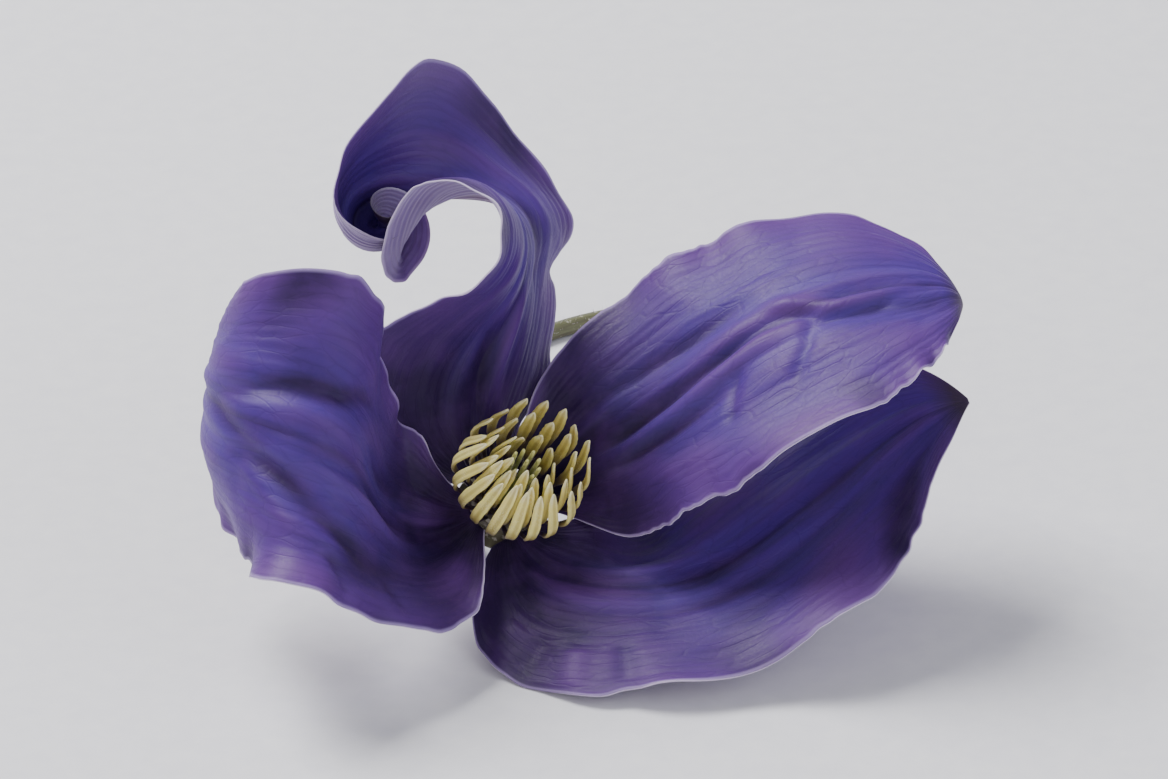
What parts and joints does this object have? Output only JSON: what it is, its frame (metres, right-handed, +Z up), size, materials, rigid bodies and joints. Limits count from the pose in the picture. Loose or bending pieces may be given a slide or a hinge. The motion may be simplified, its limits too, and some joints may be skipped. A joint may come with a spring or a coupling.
{
  "type": "clematis flower",
  "caption": "Open violet-blue clematis bloom with curling tepals, a yellow tuft of stamens and its own stalk, lying on its side as picked.",
  "frame": {"origin": "on the floor, under the middle of the flower's box", "axes": "+Z is up as the flower lies, +Y points back along the lying stalk, +X to the right of the open face"},
  "size_m": [0.0862, 0.0936, 0.054],
  "materials": {
    "tepal": "satin",
    "stamen": "matte",
    "pistil": "matte",
    "stalk": "satin"
  },
  "bodies": {
    "root": {"stalk": "stalk", "tepal_right": "tepal", "tepal_upper": "tepal", "tepal_left": "tepal", "tepal_lower": "tepal", "stamen_01": "stamen", "stamen_02": "stamen", "stamen_03": "stamen", "stamen_04": "stamen", "stamen_05": "stamen", "stamen_06": "stamen", "stamen_07": "stamen", "stamen_08": "stamen", "stamen_09": "stamen", "stamen_10": "stamen", "stamen_11": "stamen", "stamen_12": "stamen", "stamen_13": "stamen", "stamen_14": "stamen", "stamen_15": "stamen", "stamen_16": "stamen", "stamen_17": "stamen", "stamen_18": "stamen", "stamen_19": "stamen", "stamen_20": "stamen", "stamen_21": "stamen", "stamen_22": "stamen", "stamen_23": "stamen", "stamen_24": "stamen", "stamen_25": "stamen", "stamen_26": "stamen", "stamen_27": "stamen", "stamen_28": "stamen", "stamen_29": "stamen", "stamen_30": "stamen", "stamen_31": "stamen", "stamen_32": "stamen", "stamen_33": "stamen", "stamen_34": "stamen", "stamen_35": "stamen", "stamen_36": "stamen", "stamen_37": "stamen", "stamen_38": "stamen", "stamen_39": "stamen", "stamen_40": "stamen", "stamen_41": "stamen", "stamen_42": "stamen", "stamen_43": "stamen", "stamen_44": "stamen", "stamen_45": "stamen", "pistil_01": "pistil", "pistil_02": "pistil", "pistil_03": "pistil", "pistil_04": "pistil", "pistil_05": "pistil", "pistil_06": "pistil", "pistil_07": "pistil", "pistil_08": "pistil", "pistil_09": "pistil", "pistil_10": "pistil"}
  },
  "joints": []
}
